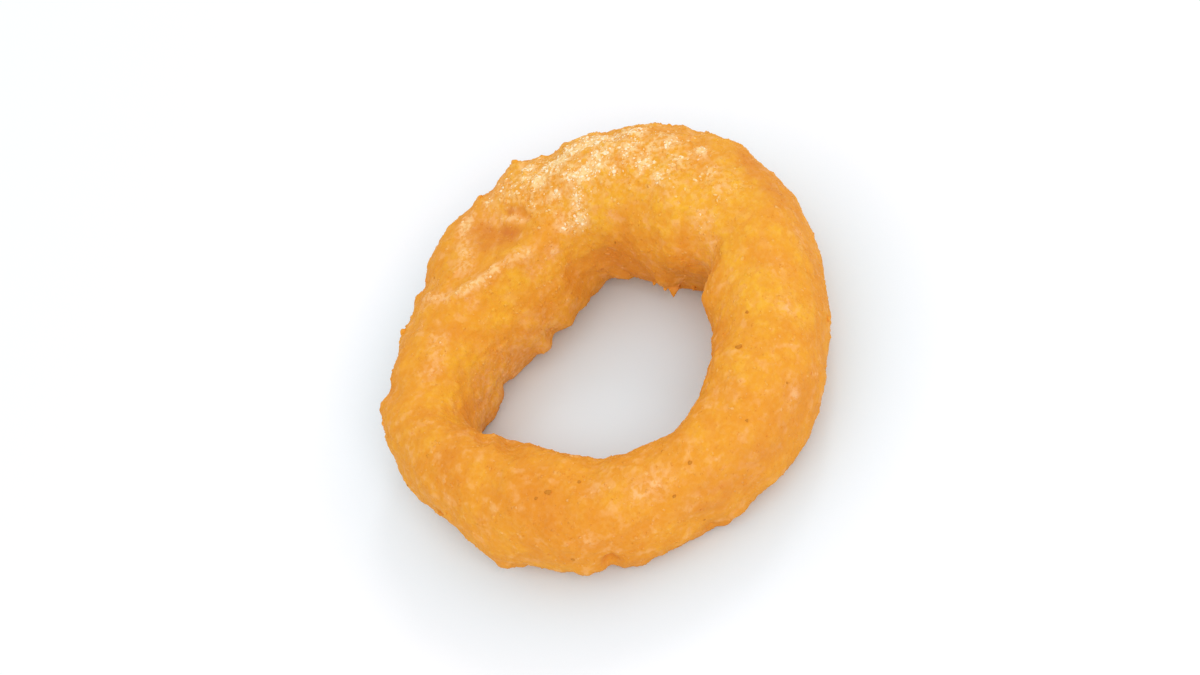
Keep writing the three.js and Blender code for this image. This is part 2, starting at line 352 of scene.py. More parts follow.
# The kinds of nodes that are used most, some with the setting that makes them what they are called here.
PLUS = ("ShaderNodeMath", {"operation": "ADD"})
MINUS = ("ShaderNodeMath", {"operation": "SUBTRACT"})
TIMES = ("ShaderNodeMath", {"operation": "MULTIPLY"})
TIMES_PLUS = ("ShaderNodeMath", {"operation": "MULTIPLY_ADD"})
DIVIDED = ("ShaderNodeMath", {"operation": "DIVIDE"})
TO_POWER = ("ShaderNodeMath", {"operation": "POWER"})
LARGER = ("ShaderNodeMath", {"operation": "MAXIMUM"})
VECTOR_PLUS = ("ShaderNodeVectorMath", {"operation": "ADD"})
VECTOR_MINUS = ("ShaderNodeVectorMath", {"operation": "SUBTRACT"})
SCALED = ("ShaderNodeVectorMath", {"operation": "SCALE"})
LENGTH = ("ShaderNodeVectorMath", {"operation": "LENGTH"})
MIX = ("ShaderNodeMix", {"data_type": "RGBA"})
RANDOM = "FunctionNodeRandomValue"
RANDOM_VECTOR = ("FunctionNodeRandomValue", {"data_type": "FLOAT_VECTOR"})
RANGE = "ShaderNodeMapRange"
NOISE = "ShaderNodeTexNoise"
PARTS = "ShaderNodeSeparateXYZ"
BUMP = "ShaderNodeBump"
COORDINATES = "ShaderNodeTexCoord"
ATTRIBUTE = "ShaderNodeAttribute"
CARRIED = "GeometryNodeInputNamedAttribute"
STORE = "GeometryNodeStoreNamedAttribute"
POSITION = "GeometryNodeInputPosition"
MOVE = "GeometryNodeSetPosition"
REALIZE = "GeometryNodeRealizeInstances"


# ---------------------------------------------------------------- small helpers


def linear(hex_text):
    """An sRGB hex colour as linear red, green and blue."""
    channels = [int(hex_text[i : i + 2], 16) / 255 for i in (1, 3, 5)]
    return [c / 12.92 if c <= 0.04045 else ((c + 0.055) / 1.055) ** 2.4 for c in channels]


def node(tree, kind, links=(), **settings):
    """Adds a node with its settings and links.

    Links gives its inputs a value, an output, or a node, which stands for its first output in use. A list
    goes to the inputs in use in their order, and a dictionary to those that it names.
    """
    kind, usual = kind if isinstance(kind, tuple) else (kind, {})
    made = tree.nodes.new(kind)
    for name, value in (usual | settings).items():
        setattr(made, name, value)
    inputs = [socket for socket in made.inputs if socket.enabled]
    if isinstance(links, dict):
        inputs = [next(socket for socket in inputs if socket.name == name) for name in links]
        links = links.values()
    for socket, value in zip(inputs, links):
        if isinstance(value, bpy.types.Node):
            value = next(output for output in value.outputs if output.enabled)
        if isinstance(value, bpy.types.NodeSocket):
            tree.links.new(value, socket)
        else:
            socket.default_value = value
    return made


def new_object(name, mesh):
    """An object in the scene that shows the mesh."""
    made = bpy.data.objects.new(name, mesh)
    bpy.context.scene.collection.objects.link(made)
    return made


def evaluated_mesh(thing):
    """A plain copy of the mesh as its modifiers leave it."""
    depsgraph = bpy.context.evaluated_depsgraph_get()
    return bpy.data.meshes.new_from_object(
        thing.evaluated_get(depsgraph), preserve_all_data_layers=True, depsgraph=depsgraph
    )


def new_tree(name, values):
    """An empty geometry node tree with a geometry input and output, and an input for each value.

    Gives back the tree, the function that adds nodes to it, and its inputs.
    """
    sockets = {float: "NodeSocketFloat", int: "NodeSocketInt", bpy.types.Material: "NodeSocketMaterial"}
    tree = bpy.data.node_groups.new(name, "GeometryNodeTree")
    tree.interface.new_socket("Geometry", in_out="INPUT", socket_type="NodeSocketGeometry")
    for label, value in values.items():
        tree.interface.new_socket(label, in_out="INPUT", socket_type=sockets[type(value)])
    tree.interface.new_socket("Geometry", in_out="OUTPUT", socket_type="NodeSocketGeometry")
    return tree, partial(node, tree), node(tree, "NodeGroupInput").outputs


def run_tree(thing, tree, values):
    """Runs a geometry node tree on an object with its named inputs set, and keeps the result as its mesh."""
    modifier = thing.modifiers.new(tree.name, "NODES")
    modifier.node_group = tree
    sockets = {item.name: item.identifier for item in tree.interface.items_tree if item.in_out == "INPUT"}
    for name, value in values.items():
        modifier[sockets[name]] = value
    finished = evaluated_mesh(thing)
    thing.modifiers.remove(modifier)
    thing.data = finished


def add_piece(thing):
    """Lets a finished piece ride with the ring."""
    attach(thing, "root")


# ---------------------------------------------------------------- settings


def amount(name, description, default, **more):
    """A setting that is a plain number."""
    return bpy.props.FloatProperty(name=name, description=description, default=default, **more)


def length(name, description, millimetres):
    """A setting that is a length."""
    return amount(name, description, millimetres * MM, unit="LENGTH")


def colour(name, description, hex_text):
    """A setting that is a colour."""
    return bpy.props.FloatVectorProperty(
        name=name, description=description, default=linear(hex_text), subtype="COLOR"
    )


class CrustSettings(bpy.types.PropertyGroup):
    """The relief and the colours of the batter."""

    grid: length("Mesh size", "Width of the crust's faces", 0.5)
    swell_height: length("Swell height", "How far broad swells stand out", 0.3)
    swell_size: length("Swell size", "Width of the broad swells", 6.5)
    lump_height: length("Lump height", "How far lumps of batter stand out", 0.45)
    lump_size: length("Lump size", "Width of the lumps of batter", 2.8)
    grain_height: length("Grain height", "How far the grains stand out", 0.7)
    grain_size: length("Grain size", "Width of the grains", 1.3)
    cluster_size: length("Cluster size", "Width of the clusters of crumbs", 2.2)
    golden: colour("Golden", "Colour of most of the batter", "#EA9E32")
    yellow: colour("Yellow", "Colour of its yellow patches", "#F0AF32")
    # Amber is also painted shade in the crust's creases.
    amber: colour("Amber", "Colour of its creases", "#E18D2C")
    ember: colour("Ember", "Colour of its lowest edge", "#DE822B")
    peach: colour("Peach", "Colour of its soft spots", "#F6B876")
    # Straw and cream are partly painted highlight where they whiten the crumbs of the shoulder and the ridge.
    straw: colour("Straw", "Colour of the pale grains", "#FBD898")
    cream: colour("Cream", "Colour of the palest crumbs", "#FFEDCA")
    # The toasted colour is also painted shade on the right and low edges and on the wall of the hole.
    toasted_or_shaded: colour("Toasted", "Colour of the browned hollow", "#D07936")


class CrumbSettings(bpy.types.PropertyGroup):
    """How many grains, crumbs and specks there are, how large, and the specks' colours."""

    grain_share: amount("Batter grains", "Grains of batter to a square centimetre", 62)
    grain_width: length("Batter grain", "Width of a grain of batter", 0.75)
    fine_share: amount("Fine crumbs", "Fine crumbs to a square centimetre where thickest", 360)
    fine_width: length("Fine crumb", "Width of a fine crumb", 0.62)
    coarse_share: amount("Coarse crumbs", "Coarse crumbs to a square centimetre where thickest", 10)
    coarse_width: length("Coarse crumb", "Width of a coarse crumb", 1.0)
    speck_share: amount("Specks", "Dark specks to a square centimetre", 0.15)
    speck_width: length("Speck width", "Width of a scattered dark speck", 0.55)
    speck: colour("Speck", "Colour of the dark specks", "#C88028")
    light_speck: colour("Light speck", "Colour of the lighter specks", "#DA9A3C")


class StageSettings(bpy.types.PropertyGroup):
    """The table, the light and the camera."""

    table: colour("Table", "Colour of the table", "#F7FAFE")
    table_middle: colour("Table middle", "Colour of the table round the ring", "#E5F5FF")
    key_power: amount("Key light", "Power of the soft light beside the camera", 1.46, unit="POWER")
    glint_power: amount("Glint light", "Power of the small light behind the ring", 0.4, unit="POWER")
    sky: amount("Sky", "Strength of the white all round", 0.905)
    lens: amount("Lens", "Focal length", 80.0, subtype="DISTANCE_CAMERA")


# ---------------------------------------------------------------- the crust


def smooth_ring(grid):
    """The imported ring's mesh with its flat faces rounded off, on an even fine grid."""
    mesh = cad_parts[RING_NODE].data.copy()
    mesh.materials.clear()
    loose = bmesh.new()
    loose.from_mesh(mesh)
    bmesh.ops.remove_doubles(loose, verts=loose.verts, dist=SAME_PLACE)
    loose.to_mesh(mesh)
    loose.free()
    ring = new_object("crust", mesh)
    rounding = ring.modifiers.new("Rounding", "SUBSURF")
    rounding.levels = rounding.render_levels = 1
    remesh = ring.modifiers.new("Grid", "REMESH")
    remesh.mode = "VOXEL"
    remesh.voxel_size = grid
    remesh.use_smooth_shade = True
    soften = ring.modifiers.new("Soften", "SMOOTH")
    soften.factor = 0.5
    soften.iterations = 6
    finished = evaluated_mesh(ring)
    ring.modifiers.clear()
    ring.data = finished
    return ring


def distance_to(points, path):
    """How far each point is from a path of straight stretches, or from its only point."""
    nearest = np.linalg.norm(points - path[0], axis=1)
    for start, end in zip(path, path[1:]):
        stretch = end - start
        share = np.clip((points - start) @ stretch / (stretch @ stretch), 0, 1)
        nearest = np.minimum(nearest, np.linalg.norm(points - start - share[:, None] * stretch, axis=1))
    return nearest


def all_patches():
    """The path, reach and added values of every patch and spot, and of the edge's corners and nicks."""
    patches = list(PATCHES.values())
    patches += [([middle], reach, adds) for middles, reach, adds in SPOTS.values() for middle in middles]
    patches += [([at], reach, {RAISED: out}) for at, reach, out in CORNERS.values()]
    back = view_axes()[2]
    for at, reach, out in NICKS.values():
        path = [Vector(at) + back * NICK_NEAR, Vector(at) - back * NICK_FAR]
        patches.append((path, reach, {RAISED: out}))
    return patches


def store_patches(mesh):
    """Gives every point of the crust its share of each patch."""
    points = np.empty(len(mesh.vertices) * 3)
    mesh.vertices.foreach_get("co", points)
    points = points.reshape(-1, 3) / MM
    values = {name: np.zeros(len(points)) for name in (CRUMBLY, TOASTED_OR_SHADED, PALE, YELLOWED, RAISED)}
    values[CRUMBLY] += PLAIN_CRUMBLY
    for path, reach, adds in all_patches():
        away = distance_to(points, np.array(path)) / reach
        share = np.clip(1 - away**2, 0, 1) ** 2
        for name, most in adds.items():
            values[name] += share * most
    for name in (CRUMBLY, TOASTED_OR_SHADED, PALE):
        np.clip(values[name], 0, 1, out=values[name])
    for name, numbers in values.items():
        attribute = mesh.attributes.new(name, "FLOAT", "POINT")
        attribute.data.foreach_set("value", numbers.astype(np.float32))


def refine(mesh):
    """Halves the width of the faces where the crust is crumbly."""
    loose = bmesh.new()
    loose.from_mesh(mesh)
    crumbly = loose.verts.layers.float[CRUMBLY]
    grainy = [edge for edge in loose.edges if min(vert[crumbly] for vert in edge.verts) > FINER_FROM]
    bmesh.ops.subdivide_edges(loose, edges=grainy, cuts=1, use_grid_fill=True)
    bmesh.ops.triangulate(loose, faces=[face for face in loose.faces if len(face.verts) > 4])
    loose.to_mesh(mesh)
    loose.free()


def relief_tree(values):
    """Raises swells, lumps and grains on the crust, and keeps them off the table.

    The crust keeps how high each point stands among them, and where the crumbs gather.
    """
    tree, add, given = new_tree("Crust relief", values)
    place = add(POSITION)
    crumbly, raised, pale = (add(CARRIED, {"Name": name}) for name in (CRUMBLY, RAISED, PALE))

    # Bends the lumps' cells, so that they aren't evenly round.
    bend_size = 2.2 * MM
    bend_scale = add(DIVIDED, [1.0, bend_size])
    bends = add(NOISE, {"Vector": place, "Scale": bend_scale, "Detail": 2.0}).outputs["Color"]
    bend = add(VECTOR_MINUS, [bends, (0.5, 0.5, 0.5)])
    bend = add(SCALED, [bend, bend_size])
    bent = add(VECTOR_PLUS, [place, bend])

    def lumps(size, lowest):
        """Rounded lumps of a size, each of its own height, from the lowest share up."""
        top, rim = 0.05, 0.62  # how far a lump's top and rim are from its cell's middle, for the cell's size
        highest = 1.2
        scale = add(DIVIDED, [1.0, size])
        cells = add(
            "ShaderNodeTexVoronoi",
            {"Vector": bent, "Scale": scale, "Smoothness": 0.3},
            feature="SMOOTH_F1",
        )
        dome = add(RANGE, [cells, top, rim, 1.0, 0.0], interpolation_type="SMOOTHSTEP")
        chance = add(PARTS, [cells.outputs["Color"]])
        share = add(RANGE, [chance, 0.0, 1.0, lowest, highest])
        return add(TIMES, [dome, share])

    swell_scale, cluster_scale = (add(DIVIDED, [1.0, given[size]]) for size in ("Swell size", "Cluster size"))
    swells = add(NOISE, {"Vector": place, "Scale": swell_scale, "Detail": 2.0})
    swell = add(RANGE, [swells, 0.25, 0.75, -1.0, 1.0])
    lump = lumps(given["Lump size"], 0.3)
    small_size = add(TIMES, [given["Grain size"], SMALL_GRAIN])
    large_grain, small_grain = (
        add(TIMES, [lumps(size, 0.1), share])
        for size, share in ((given["Grain size"], LARGE_GRAIN_SHARE), (small_size, 1 - LARGE_GRAIN_SHARE))
    )
    grain = add(PLUS, [large_grain, small_grain])

    # How far each point moves out.
    swell_out = add(TIMES, [swell, given["Swell height"]])
    lump_out, grain_out = (
        add(TIMES, [add(TIMES, [shape, given[height]]), add(RANGE, [crumbly, 0.0, 1.0, smooth_share, 1.0])])
        for shape, height, smooth_share in (
            (lump, "Lump height", SMOOTH_LUMP_SHARE),
            (grain, "Grain height", SMOOTH_GRAIN_SHARE),
        )
    )
    out = add(PLUS, [swell_out, add(PLUS, [lump_out, grain_out])])
    full_height = add(PLUS, [given["Lump height"], given["Grain height"]])
    let_down = add(TIMES, [full_height, LET_DOWN])
    out = add(MINUS, [out, let_down])
    out = add(PLUS, [out, add(TIMES, [raised, MM])])

    lump_crest = add(TIMES, [lump, LUMP_CREST])
    grain_crest = add(TIMES, [grain, GRAIN_CREST])
    crest = add(PLUS, [lump_crest, grain_crest])
    clusters = add(NOISE, {"Vector": place, "Scale": cluster_scale, "Detail": 3.0})
    clustered = add(LARGER, [add(RANGE, [clusters, 0.5, 0.62]), add(RANGE, [pale, 0.1, 0.6])])
    kept = given["Geometry"]
    for name, value in ((CREST, crest), (CLUSTERED, clustered)):
        kept = add(STORE, {"Geometry": kept, "Name": name, "Value": value})
    offset = add(SCALED, [add("GeometryNodeInputNormal"), out])
    moved = add(MOVE, {"Geometry": kept, "Offset": offset})
    finish_tree(add, moved, given["Material"])
    return tree


def finish_tree(add, geometry, material):
    """Ends a tree: lifted to the table where it would reach below it, smooth, real and with its material."""
    parts = add(PARTS, [add(POSITION)]).outputs
    height = add(LARGER, [parts["Z"], 0.0])
    place = add("ShaderNodeCombineXYZ", [parts["X"], parts["Y"], height])
    lifted = add(MOVE, {"Geometry": geometry, "Position": place})
    smooth = add("GeometryNodeSetShadeSmooth", {"Geometry": lifted, "Shade Smooth": True})
    real = add(REALIZE, [smooth])
    done = add("GeometryNodeSetMaterial", {"Geometry": real, "Material": material})
    add("NodeGroupOutput", [done])


# ---------------------------------------------------------------- crumbs and specks


def crumb_tree(values):
    """Scatters crumbs over the crust, thickest where it is crumbly and they gather, each of its own shape."""
    thickest_from = 0.7  # the crumbly value from which the crumbs stand thickest
    bare_up_to, full_from = 1.0 * MM, 3.0 * MM  # heights above the table
    spacing = 0.6  # the least distance between two crumbs, as a share of their width
    rarity = 1.8  # the higher it is, the fewer large crumbs there are among the small
    smallest, largest = 0.55, 1.5  # a crumb's width, as a share of the usual one
    tilt = 0.5  # radians
    slimmest, fullest = (0.8, 0.55, 0.45), (1.3, 1.0, 0.8)  # a crumb's sides, as shares of its width
    dents, depth = 1.8, 0.7  # how many dents there are along a crumb, and how deep, for the usual width
    tree, add, given = new_tree("Crumbs", values)
    place = add(POSITION)
    height = add(PARTS, [place]).outputs["Z"]
    crumbly, clustered = (add(CARRIED, {"Name": name}) for name in (CRUMBLY, CLUSTERED))
    width_seed, tone_seed, spin_seed, shape_seed = (
        add(PLUS, [given["Seed"], number]) for number in (1.0, 2.0, 3.0, 4.0)
    )

    # Where they stand: not close to the table.
    share = add(RANGE, [crumbly, given["Crumbly from"], thickest_from, given["Plain share"], 1.0])
    between = add(MINUS, [1.0, clustered])
    scarce = add(TIMES, [given["Gathering"], between])
    share = add(TIMES, [share, add(MINUS, [1.0, scarce])])
    clear_of_table = add(RANGE, [height, bare_up_to, full_from])
    points, normal, upright = add(
        "GeometryNodeDistributePointsOnFaces",
        {
            "Mesh": given["Geometry"],
            "Distance Min": add(TIMES, [given["Width"], spacing]),
            "Density Max": given["Crumbs to a square metre"],
            "Density Factor": add(TIMES, [share, clear_of_table]),
            "Seed": given["Seed"],
        },
        distribute_method="POISSON",
    ).outputs

    # Small crumbs are commoner than large ones.
    chance = add(RANDOM, {"Min": 0.0, "Max": 1.0, "Seed": width_seed})
    growth = add(RANGE, [add(TO_POWER, [chance, rarity]), 0.0, 1.0, smallest, largest])
    width = add(TIMES, [given["Width"], growth])
    inward = add(TIMES, [given["Depth"], -1.0])
    sink = add(SCALED, [normal, add(TIMES, [width, inward])])
    sunk = add(MOVE, {"Geometry": points, "Offset": sink})
    tone = add(RANDOM, {"Min": 0.0, "Max": 1.0, "Seed": tone_seed})
    toned = add(STORE, {"Geometry": sunk, "Name": TONE, "Value": tone})
    ball = add("GeometryNodeMeshIcoSphere", {"Radius": BALL_RADIUS, "Subdivisions": given["Roundness"]})
    above_foot = add(PLUS, [height, BALL_RADIUS])
    tipped = add(STORE, {"Geometry": ball, "Name": TIP, "Value": above_foot})

    # The crumbs lie flat on the crust: tilted a little, and spun any way.
    spin = add(
        RANDOM_VECTOR, {"Min": (-tilt, -tilt, 0.0), "Max": (tilt, tilt, math.tau), "Seed": spin_seed}
    )
    shape = add(RANDOM_VECTOR, {"Min": slimmest, "Max": fullest, "Seed": shape_seed})
    turn = add("FunctionNodeRotateRotation", [upright, spin], rotation_space="LOCAL")
    size = add(SCALED, [shape, width])
    copies = add(
        "GeometryNodeInstanceOnPoints", {"Points": toned, "Instance": tipped, "Rotation": turn, "Scale": size}
    )

    # Dents, so that no two are alike.
    dent_scale = add(DIVIDED, [dents, given["Width"]])
    dent_depth = add(TIMES, [given["Width"], depth])
    pushes = add(NOISE, {"Vector": place, "Scale": dent_scale, "Detail": 1.0}).outputs["Color"]
    push = add(VECTOR_MINUS, [pushes, (0.5, 0.5, 0.5)])
    push = add(SCALED, [push, dent_depth])
    dented = add(MOVE, {"Geometry": add(REALIZE, [copies]), "Offset": push})
    finish_tree(add, dented, given["Material"])
    return tree


def scatter(
    name, share, width, material, depth, roundness, seed, plain=1.0, crumbly_from=0.0, gathering=0.0
):
    """Makes a piece of crumbs that are scattered over the crust, everywhere alike if nothing else is said."""
    values = {
        "Crumbs to a square metre": share / CM2,
        "Width": width,
        "Plain share": plain,
        "Crumbly from": crumbly_from,
        "Gathering": gathering,
        "Depth": depth,
        "Roundness": roundness,
        "Seed": seed,
        "Material": material,
    }
    crumbs = new_object(name, bpy.data.objects["crust"].data.copy())
    run_tree(crumbs, crumb_tree(values), values)
    add_piece(crumbs)


def placed_crumbs(name, places, material):
    """Single crumbs, each a small uneven lump half sunk in the crust at the place nearest to its own."""
    breadth = 0.8  # a crumb's narrower side, as a share of its width
    tone_step, tone_end = 0.37, 0.4  # the tones differ from crumb to crumb, and keep to the darker end
    dents, dent_depth = 1.8, 0.22  # how many dents there are along a crumb, and how deep for its width
    foot = 1.3  # a tall crumb narrows from this share of its ball's width at the foot to 1 less at the tip
    surface = BVHTree.FromObject(bpy.data.objects["crust"], bpy.context.evaluated_depsgraph_get())
    noise.seed_set(DENT_SEED)
    loose = bmesh.new()
    tone, tip = (loose.verts.layers.float.new(value) for value in (TONE, TIP))
    for number, (place, width, tall) in enumerate(places):
        at, normal, _, _ = surface.find_nearest(Vector(place) * MM)
        width *= MM
        height = width * tall
        turn = normal.to_track_quat("Z", "Y").to_matrix().to_4x4()
        size = Matrix.Diagonal((width, width * breadth, height, 1))
        ball = bmesh.ops.create_icosphere(
            loose, subdivisions=2, radius=BALL_RADIUS, matrix=Matrix.Translation(at) @ turn @ size
        )
        for vert in ball["verts"]:
            vert[tone] = (number * tone_step) % tone_end
            along = (vert.co - at).dot(normal)
            vert[tip] = along / height + BALL_RADIUS
            if height > width:
                vert.co = (at + normal * along).lerp(vert.co, foot - vert[tip])
            vert.co += noise.noise_vector(vert.co / width * dents) * width * dent_depth
            vert.co.z = max(vert.co.z, 0)
    mesh = bpy.data.meshes.new(name)
    loose.to_mesh(mesh)
    loose.free()
    mesh.shade_smooth()
    mesh.materials.append(material)
    return new_object(name, mesh)


# ---------------------------------------------------------------- materials


def new_material(name):
    """An empty node material, and the function that adds nodes to it."""
    material = bpy.data.materials.new(name)
    material.use_nodes = True
    material.node_tree.nodes.clear()
    return material, partial(node, material.node_tree)


def finish_material(add, body, roughness, gloss, **links):
    """Ends a material with its shader."""
    links |= {"Base Color": body, "Roughness": roughness, "Specular IOR Level": gloss}
    add("ShaderNodeOutputMaterial", {"Surface": add("ShaderNodeBsdfPrincipled", links)})


def carried(add, *names):
    """What the points carry under these names."""
    return [add(ATTRIBUTE, attribute_name=name).outputs["Fac"] for name in names]


def cloud(add, place, name):
    """One of the clouds in the batter's colour."""
    size, detail = CLOUDS[name]
    return add(NOISE, {"Vector": place, "Scale": 1 / (size * MM), "Detail": detail})


def opaque(settings, *names):
    """The settings' colours of these names, with nothing showing through."""
    return [(*getattr(settings, name), 1.0) for name in names]


def batter_colour(add, settings):
    """The batter's colour: golden, with clouds, flecks and spots of the other colours.

    Real batter is as uneven as that, because it fries faster where it is thin or high. The yellower top is
    partly painted light, and the brown on the right and low edges and on the hole's wall is painted shade.
    """
    place = add(COORDINATES).outputs["Object"]
    height = add(PARTS, [place]).outputs["Z"]
    toasted_or_shaded, pale, yellowed = carried(add, TOASTED_OR_SHADED, PALE, YELLOWED)
    golden, yellow, amber, ember, peach, straw, brown = opaque(
        settings, "golden", "yellow", "amber", "ember", "peach", "straw", "toasted_or_shaded"
    )
    clouds = {name: cloud(add, place, name) for name in CLOUDS}
    mottle = clouds["mottle"]
    flecks = add(RANGE, [clouds["flecks"], 0.42, 0.62])

    # Yellow high up, partly as painted light where the light falls on the top, and amber in clouds between.
    high = add(RANGE, [height, *YELLOW_HEIGHTS, 0.2, 1.0])
    yellower = add(PLUS, [high, yellowed], use_clamp=True)
    yellow_share = add(TIMES, [add(RANGE, [clouds["yellow"], 0.36, 0.56]), yellower])
    amber_clouds = add(RANGE, [clouds["amber"], 0.52, 0.36, 0.0, 0.5])
    less_yellow = add(RANGE, [yellower, 0.4, 1.0, 1.0, 0.6])
    browned = add(TIMES, [amber_clouds, less_yellow])
    redder = add(RANGE, [yellowed, 0.0, -1.0])
    amber_share = add(PLUS, [browned, redder], use_clamp=True)

    # Soft peach spots, straw flecks, and ember close to the table.
    peach_clouds = add(RANGE, [clouds["peach"], 0.55, 0.7, 0.0, 0.5])
    not_yellowed = add(RANGE, [yellowed, 0.0, 1.0, 1.0, 0.3])
    peach_share = add(TIMES, [peach_clouds, not_yellowed])
    straw_share = add(TIMES, [flecks, 0.06])
    ember_share = add(RANGE, [height, *EMBER_HEIGHTS, 0.0, 0.5])

    # The pale patches are broken up where they thin out, and the browned ones are uneven. Some pale patches
    # are painted light on the hole's walls and partly painted highlight on the shoulder, and the browned ones
    # on the right and low edges and on the hole's wall are painted shade.
    spot = add(MIX, [add(RANGE, [pale, 0.4, 1.0]), peach, straw])
    by_mottle = add(RANGE, [mottle, 0.35, 0.6, 0.5, 1.2])
    by_flecks = add(RANGE, [flecks, 0.0, 1.0, 0.35, 1.4])
    broken = add(TIMES, [by_mottle, by_flecks])
    thinning = add(RANGE, [add(TIMES, [pale, broken]), 0.0, 0.6])
    solid = add(RANGE, [pale, 0.55, 1.0, 0.0, 0.75])
    spot_share = add(LARGER, [thinning, solid])
    uneven = add(RANGE, [mottle, 0.6, 0.35, 0.6, 1.2])
    brown_share = add(RANGE, [add(TIMES, [toasted_or_shaded, uneven]), 0.0, 1.0])

    body = golden
    for share, tint in (
        (yellow_share, yellow),
        (amber_share, amber),
        (peach_share, peach),
        (straw_share, straw),
        (ember_share, ember),
        (spot_share, spot),
        (brown_share, brown),
    ):
        body = add(MIX, [share, body, tint])
    return body


def batter_material(settings):
    """Fried batter: golden and nearly matte, with amber painted shade in its creases, and its crumbly
    clusters straw, partly as painted highlight.
    """
    material, add = new_material("Fried batter")
    crest, crumbly, clustered = carried(add, CREST, CRUMBLY, CLUSTERED)
    amber, straw = opaque(settings, "amber", "straw")
    place = add(COORDINATES).outputs["Object"]
    # Painted shade: the creases between the lumps are darkened toward amber.
    crease_shade = add(RANGE, [crest, 0.3, 0.05, 0.0, 0.35])
    body = add(MIX, [crease_shade, batter_colour(add, settings), amber])
    # Partly painted highlight: straw flecks over the crumbly clusters.
    flecked = add(RANGE, [cloud(add, place, "flecks"), 0.42, 0.6, 0.1, 1.2])
    gathered = add(RANGE, [clustered, 0.0, 1.0, 0.3, 0.8])
    clustered_flecks = add(TIMES, [flecked, gathered])
    pale_glint_mask = add(TIMES, [crumbly, clustered_flecks])
    body = add(MIX, [add(RANGE, [pale_glint_mask, 0.0, 1.0, 0.0, 0.85]), body, straw])
    pores = add(NOISE, {"Vector": place, "Scale": 1 / PORE_SIZE, "Detail": 2.0})
    bump = add(BUMP, {"Strength": 0.65, "Distance": PORE_DEPTH, "Height": pores})
    finish_material(add, body, roughness=0.6, gloss=0.06, Normal=bump)
    return material


def grain_material(settings):
    """Grains of fried batter: the crust's colour, some a little darker, and some with a pale tip that is
    partly painted highlight.
    """
    material, add = new_material("Fried batter grains")
    tone, tip, crumbly, clustered = carried(add, TONE, TIP, CRUMBLY, CLUSTERED)
    amber, straw = opaque(settings, "amber", "straw")
    darker = add(RANGE, [tone, 0.35, 0.0, 0.0, 0.5])
    body = add(MIX, [darker, batter_colour(add, settings), amber])
    pale_glint_mask = add(TIMES, [crumbly, clustered])
    # Partly painted highlight: straw on the tips of some grains and over the clusters.
    high, chosen = add(RANGE, [tip, 0.5, 0.95]), add(RANGE, [tone, 0.55, 1.0, 0.0, 0.25])
    pale_tip = add(TIMES_PLUS, [high, chosen, pale_glint_mask])
    body = add(MIX, [add(RANGE, [pale_tip, 0.0, 1.0, 0.0, 0.9]), body, straw])
    finish_material(add, body, roughness=0.55, gloss=0.1)
    return material


def crumb_material(settings):
    """Fried crumbs: golden where they sit in the batter, and straw to cream at their tips, partly their own
    colour and partly painted highlight.
    """
    material, add = new_material("Fried crumbs")
    tone, tip, pale, crumbly, toasted_or_shaded = carried(add, TONE, TIP, PALE, CRUMBLY, TOASTED_OR_SHADED)
    straw, cream = opaque(settings, "straw", "cream")
    by_crumbly = add(RANGE, [crumbly, 0.05, 0.5, 0.4, 1.0])
    by_toasting_or_shade = add(RANGE, [toasted_or_shaded, 0.0, 0.6, 1.0, 0.2])
    pale_glint_mask = add(TIMES, [by_crumbly, by_toasting_or_shade])
    # Partly painted highlight: the pale to cream tips of the crumbs.
    pale_glint_share = add(TIMES_PLUS, [tone, 0.7, add(RANGE, [pale, 0.0, 1.0, 0.15, 0.9])])
    pale_glint_share = add(TIMES, [pale_glint_share, pale_glint_mask])
    tip_glint_share = add(TIMES, [pale_glint_share, add(RANGE, [tip, 0.3, 0.75])])
    tips = add(MIX, [add(RANGE, [pale_glint_share, 0.4, 1.1]), straw, cream])
    tip_share = add(RANGE, [tip_glint_share, 0.0, 0.8])
    body = add(MIX, [tip_share, batter_colour(add, settings), tips])
    finish_material(add, body, roughness=0.55, gloss=0.15)
    return material


def speck_material(settings):
    """Scorched crumb: brown and dull, some lighter than others."""
    material, add = new_material("Scorched crumb")
    dark, light = opaque(settings, "speck", "light_speck")
    (tone,) = carried(add, TONE)
    body = add(MIX, [add(RANGE, [tone, 0.3, 1.0]), dark, light])
    finish_material(add, body, roughness=0.6, gloss=0.1)
    return material


def table_material(settings):
    """Matte white card: evenly pale, and without any gloss.

    It is a little cooler round the ring, where the crust throws its warm light on it, so that the shadows
    stay grey.
    """
    material, add = new_material("Matte white card")
    table, middle = opaque(settings, "table", "table_middle")
    place = add(COORDINATES).outputs["Object"]
    near = add(RANGE, [add(LENGTH, [place]), *COOL_TABLE])
    body = add(MIX, [near, table, middle])
    fibre = add(NOISE, {"Vector": place, "Scale": 1 / FIBRE_SIZE})
    bump = add(BUMP, {"Strength": 0.1, "Distance": FIBRE_DEPTH, "Height": fibre})
    finish_material(add, body, roughness=0.9, gloss=0.1, Normal=bump)
    return material


# ---------------------------------------------------------------- the stage


def make_table(settings):
    """A wide flat table just under the ring."""
    side, height = TABLE_HALF_SIDE, -TABLE_GAP
    corners = [(-side, -side, height), (side, -side, height), (side, side, height), (-side, side, height)]
    mesh = bpy.data.meshes.new("table")
    mesh.from_pydata(corners, [], [(0, 1, 2, 3)])
    mesh.materials.append(table_material(settings))
    new_object("table", mesh)


def view_axes():
    """The camera's right, up and backward directions."""
    ahead = Vector((0, math.cos(VIEW_DOWN), -math.sin(VIEW_DOWN)))
    level = Vector((1, 0, 0))
    up = level.cross(ahead)
    right = level * math.cos(VIEW_ROLL) - up * math.sin(VIEW_ROLL)
    return right, up * math.cos(VIEW_ROLL) + level * math.sin(VIEW_ROLL), -ahead


